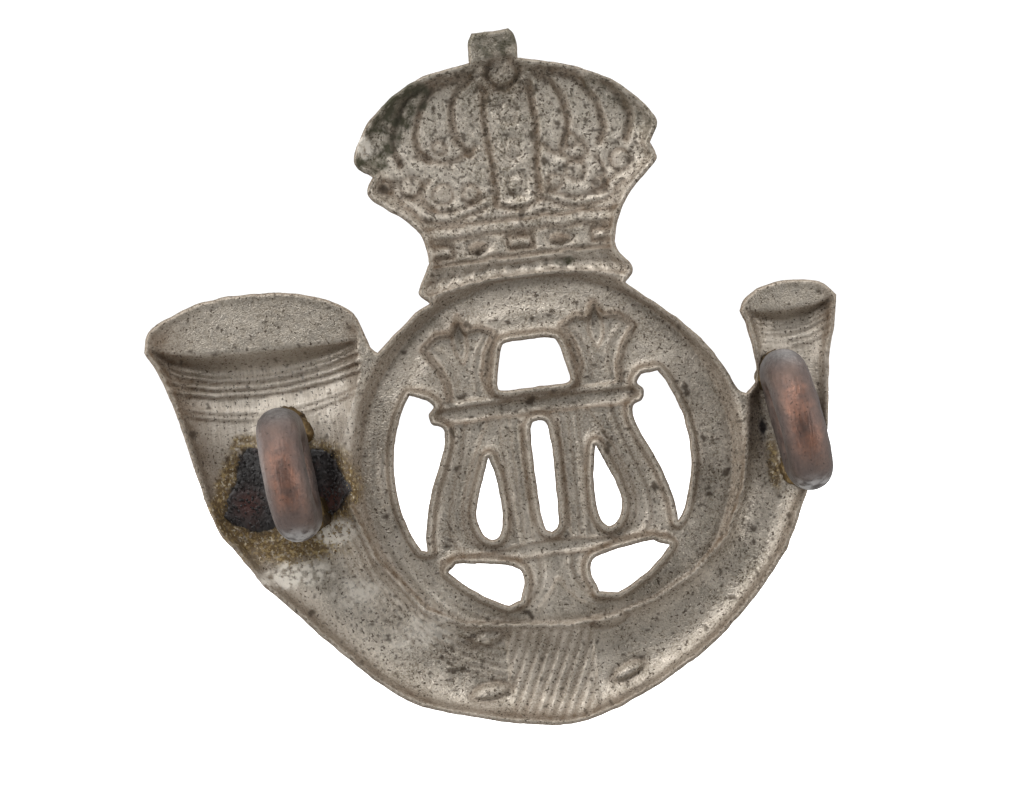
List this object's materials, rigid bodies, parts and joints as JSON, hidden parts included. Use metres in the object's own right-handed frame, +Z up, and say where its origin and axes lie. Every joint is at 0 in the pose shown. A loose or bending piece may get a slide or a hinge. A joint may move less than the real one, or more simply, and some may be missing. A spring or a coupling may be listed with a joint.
{
  "type": "cap badge",
  "caption": "Pierced, die-struck badge of a crowned bugle wrapped round a ring with an openwork centre, with wire loops brazed behind to fasten it to a cap.",
  "frame": {"origin": "centre of the bugle's ring, on the plane of the rim at the back of the struck sheet", "axes": "+Z up through the crown, -Y out of the back towards the cap (the side with the loops), +Y out of the struck front"},
  "size_m": [0.04, 0.0105, 0.0402],
  "materials": {
    "white_metal": "struck nickel silver, dull warm grey, pitted, brown in the grooves",
    "copper_wire": "aged copper wire, brown with a grey skin",
    "braze": "brown and golden brazing metal, dark with burnt flux"
  },
  "bodies": {
    "root": {"badge_plate": "white_metal", "bell_loop": "copper_wire", "mouthpiece_loop": "copper_wire", "bell_loop_upper_braze": "braze", "bell_loop_lower_braze": "braze", "mouthpiece_loop_upper_braze": "braze", "mouthpiece_loop_lower_braze": "braze"}
  },
  "joints": []
}
